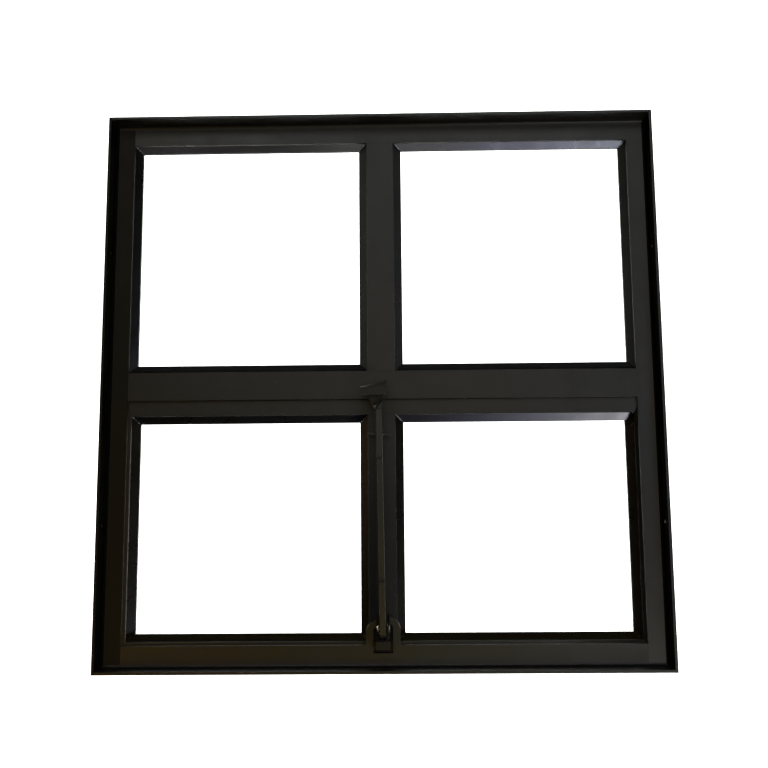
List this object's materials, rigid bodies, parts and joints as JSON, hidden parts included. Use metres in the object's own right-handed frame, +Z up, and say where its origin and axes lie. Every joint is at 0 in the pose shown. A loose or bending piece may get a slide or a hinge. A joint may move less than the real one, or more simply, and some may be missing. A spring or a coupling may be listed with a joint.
{
  "type": "steel framed window",
  "caption": "Black steel framed window with fixed panes over a top-hung sash and a notched push-out stay in a horned keeper.",
  "frame": {"origin": "on the underside of the frame, at the middle of its width, level with its face", "axes": "+Z up, +X to the right seen from the room, the room towards -Y and the outside towards +Y"},
  "size_m": [0.6, 0.066, 0.6],
  "materials": {
    "black_paint": "satin",
    "stay_steel": "satin",
    "clear_glass": "gloss",
    "glazing_putty": "matte"
  },
  "bodies": {
    "window": {"left_jamb": "black_paint", "right_jamb": "black_paint", "head": "black_paint", "bottom_rail": "black_paint", "transom": "black_paint", "mullion": "black_paint", "upper_left_glazing_frame": "black_paint", "upper_right_glazing_frame": "black_paint", "sash_top_rail": "black_paint", "sash_bottom_rail": "black_paint", "sash_left_stile": "black_paint", "sash_right_stile": "black_paint", "sash_mullion": "black_paint", "sash_left_glazing_frame": "black_paint", "sash_right_glazing_frame": "black_paint", "hinge_left": "black_paint", "hinge_right": "black_paint", "stay_keeper": "black_paint", "stay_lug": "black_paint", "stay_pivot_pin": "stay_steel", "upper_left_glass": "clear_glass", "upper_right_glass": "clear_glass", "sash_left_glass": "clear_glass", "sash_right_glass": "clear_glass", "upper_left_putty": "glazing_putty", "upper_right_putty": "glazing_putty", "sash_left_putty": "glazing_putty", "sash_right_putty": "glazing_putty"},
    "stay": {"stay_bar": "stay_steel", "stay_peg": "stay_steel", "stay_grip": "stay_steel"}
  },
  "joints": [
    {"name": "stay_hinge", "type": "hinge", "parent": "window", "child": "stay", "pos_m": [0, -0.0115, 0.043], "axis": [1, 0, 0], "range_deg": [0, 90]}
  ]
}
